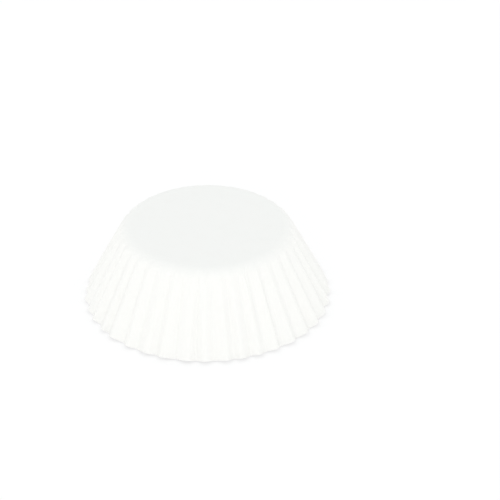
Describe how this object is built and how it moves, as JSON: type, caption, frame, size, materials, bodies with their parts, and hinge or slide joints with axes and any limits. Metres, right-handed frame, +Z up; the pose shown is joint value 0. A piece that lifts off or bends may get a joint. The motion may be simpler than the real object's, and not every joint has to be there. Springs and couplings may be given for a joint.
{
  "type": "cupcake liner",
  "caption": "Pleated white paper baking cup, standing mouth down: a flat round base and a low flared wall with fine upright pleats. It lines a muffin tin and holds the batter.",
  "frame": {"origin": "centre of the circle on which the rim stands", "axes": "+Z up along the cup's own axis, out through the base, which is on top; +X to the right and +Y to the back, as in the picture. A pleat's crest lies on +X"},
  "size_m": [0.0566, 0.0566, 0.0184],
  "materials": {
    "paper": "plain white greaseproof paper, matt with a faint sheen, faint fibre"
  },
  "bodies": {
    "root": {"liner": "paper"}
  },
  "joints": []
}
